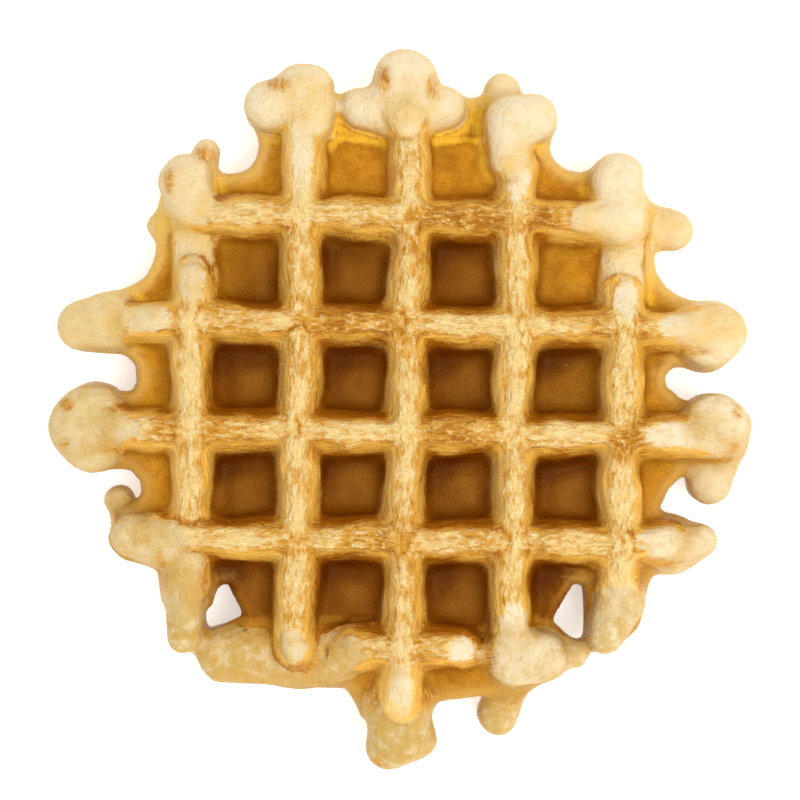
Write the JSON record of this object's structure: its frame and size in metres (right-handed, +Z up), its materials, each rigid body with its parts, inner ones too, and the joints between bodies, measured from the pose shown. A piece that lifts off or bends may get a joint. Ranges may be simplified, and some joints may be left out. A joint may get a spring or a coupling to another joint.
{
  "type": "waffle",
  "caption": "Round baked waffle with a deep square grid of pockets on both faces and pale batter drips round its rim.",
  "frame": {"origin": "middle of the underside's bounding rectangle, on the surface that the waffle lies on", "axes": "+Z up out of the pictured face, +Y towards the top edge of the picture along one set of ridges, +X to its right"},
  "size_m": [0.1314, 0.135, 0.0242],
  "materials": {
    "crust": "satin baked batter, pale cream drips, golden ridges and dark brown pocket floors"
  },
  "bodies": {
    "root": {"waffle": "crust"}
  },
  "joints": []
}
